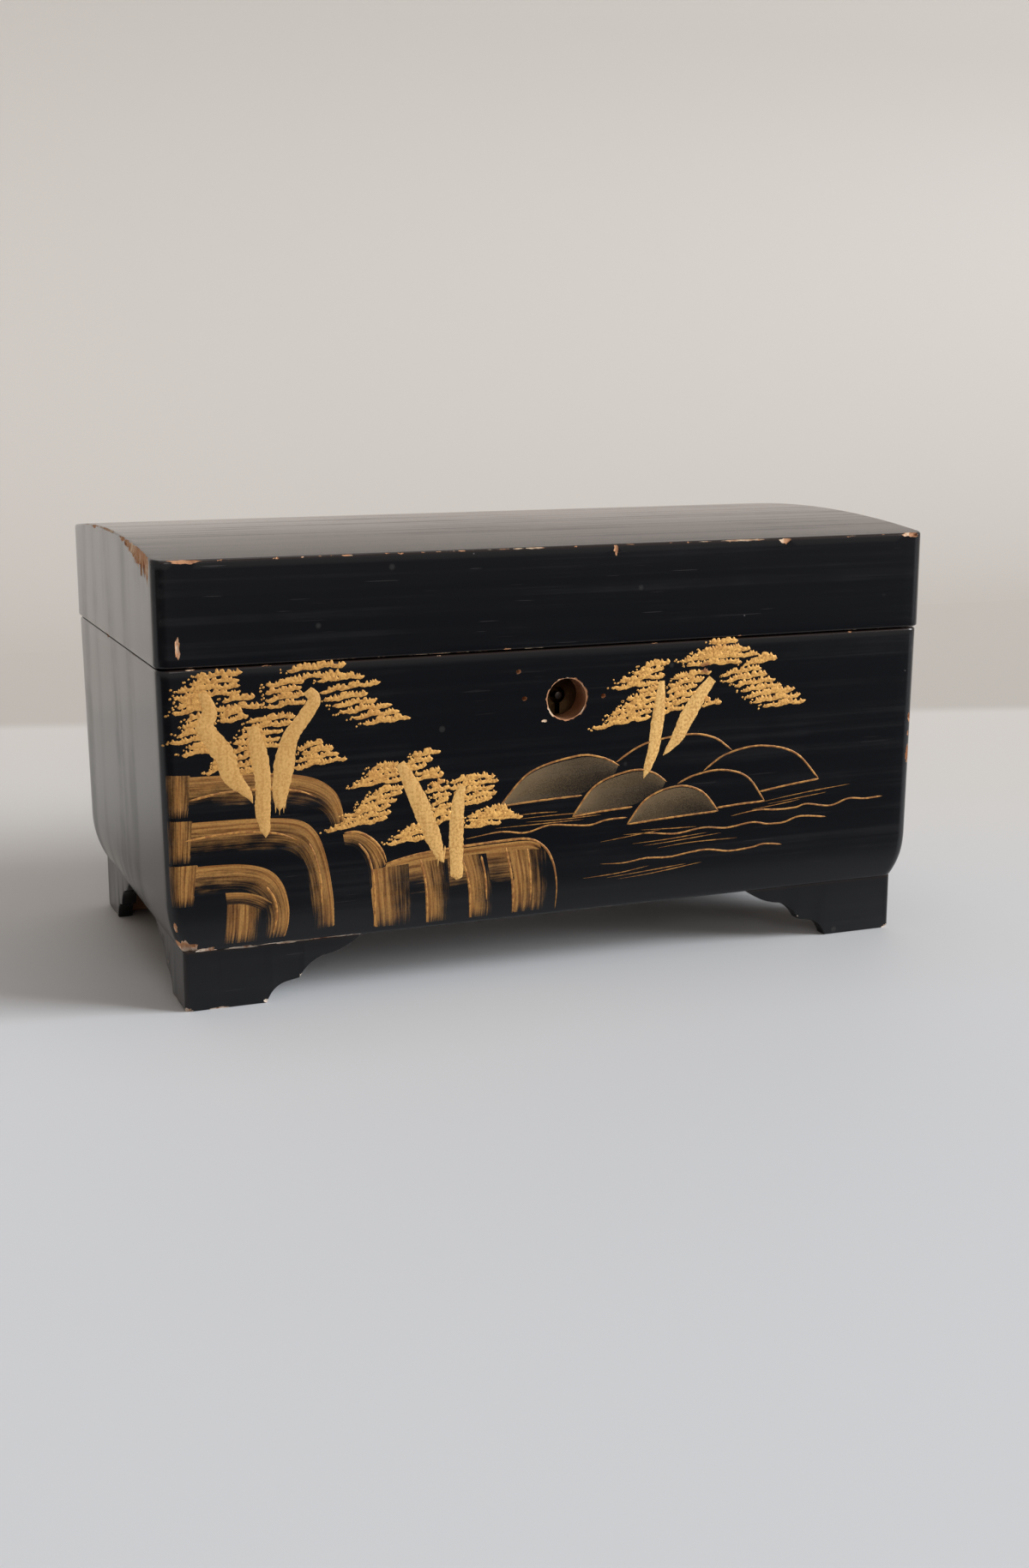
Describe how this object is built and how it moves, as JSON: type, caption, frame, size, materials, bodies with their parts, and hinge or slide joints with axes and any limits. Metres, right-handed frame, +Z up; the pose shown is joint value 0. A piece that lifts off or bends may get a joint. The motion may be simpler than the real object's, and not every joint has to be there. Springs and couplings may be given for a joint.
{
  "type": "lacquer jewelry box",
  "caption": "Lacquered wooden jewelry box on bracket feet, with a hinged lid, a box lock, a framed mirror and a lift-out tray.",
  "frame": {"origin": "on the floor, under the middle of the case", "axes": "+Z up, the front with the lock bore faces -Y, +X to the right seen from the front"},
  "size_m": [0.256, 0.1387, 0.1395],
  "materials": {
    "lacquer": "black lacquer over wood, worn and chipped at the edges, with painted gold on the front",
    "silk_lining": "woven silk pasted over card",
    "velvet": "short pile velvet over wadding",
    "inner_wood": "red brown lacquer on thin wood",
    "brass": "aged dull brass",
    "mirror_glass": "silvered glass"
  },
  "bodies": {
    "case": {"case_front": "lacquer", "case_back": "lacquer", "case_left": "lacquer", "case_right": "lacquer", "case_bottom": "lacquer", "foot_front_left": "lacquer", "foot_front_right": "lacquer", "foot_back_left": "lacquer", "foot_back_right": "lacquer", "lining_front": "silk_lining", "lining_back": "silk_lining", "lining_left": "silk_lining", "lining_right": "silk_lining", "floor_pad": "velvet", "lock_housing": "brass", "lock_cover": "brass", "key_post": "brass", "hinge_left_case_leaf": "brass", "hinge_left_pin": "brass", "hinge_right_case_leaf": "brass", "hinge_right_pin": "brass", "hinge_left_case_screw_outer": "brass", "hinge_left_case_screw_inner": "brass", "hinge_right_case_screw_outer": "brass", "hinge_right_case_screw_inner": "brass", "tray_rail_left": "inner_wood", "tray_rail_right": "inner_wood"},
    "lid": {"lid_front": "lacquer", "lid_back": "lacquer", "lid_left": "lacquer", "lid_right": "lacquer", "lid_top": "lacquer", "lid_panel": "silk_lining", "mirror": "mirror_glass", "mirror_frame": "inner_wood", "lid_strike": "brass", "hinge_left_lid_leaf": "brass", "hinge_right_lid_leaf": "brass", "hinge_left_lid_screw_outer": "brass", "hinge_left_lid_screw_inner": "brass", "hinge_right_lid_screw_outer": "brass", "hinge_right_lid_screw_inner": "brass"},
    "bolt": {"lock_bolt": "brass"},
    "tray": {"tray_front": "inner_wood", "tray_back": "inner_wood", "tray_left": "inner_wood", "tray_right": "inner_wood", "tray_floor": "inner_wood", "tray_divider_rings": "inner_wood", "tray_divider_middle": "inner_wood", "tray_divider_cross": "inner_wood", "ring_pad": "velvet", "tray_pad_middle": "velvet", "tray_pad_front": "velvet", "tray_pad_back": "velvet"}
  },
  "joints": [
    {"name": "lid_hinge", "type": "hinge", "parent": "case", "child": "lid", "pos_m": [0, 0.069, 0.1045], "axis": [-1, 0, 0], "range_deg": [0, 100]},
    {"name": "lock_bolt_slide", "type": "slide", "parent": "case", "child": "bolt", "axis": [1, 0, 0], "range_m": [0, 0.003]},
    {"name": "tray_lift", "type": "slide", "parent": "case", "child": "tray", "axis": [0, 0, 1], "range_m": [0, 0.0225]}
  ]
}
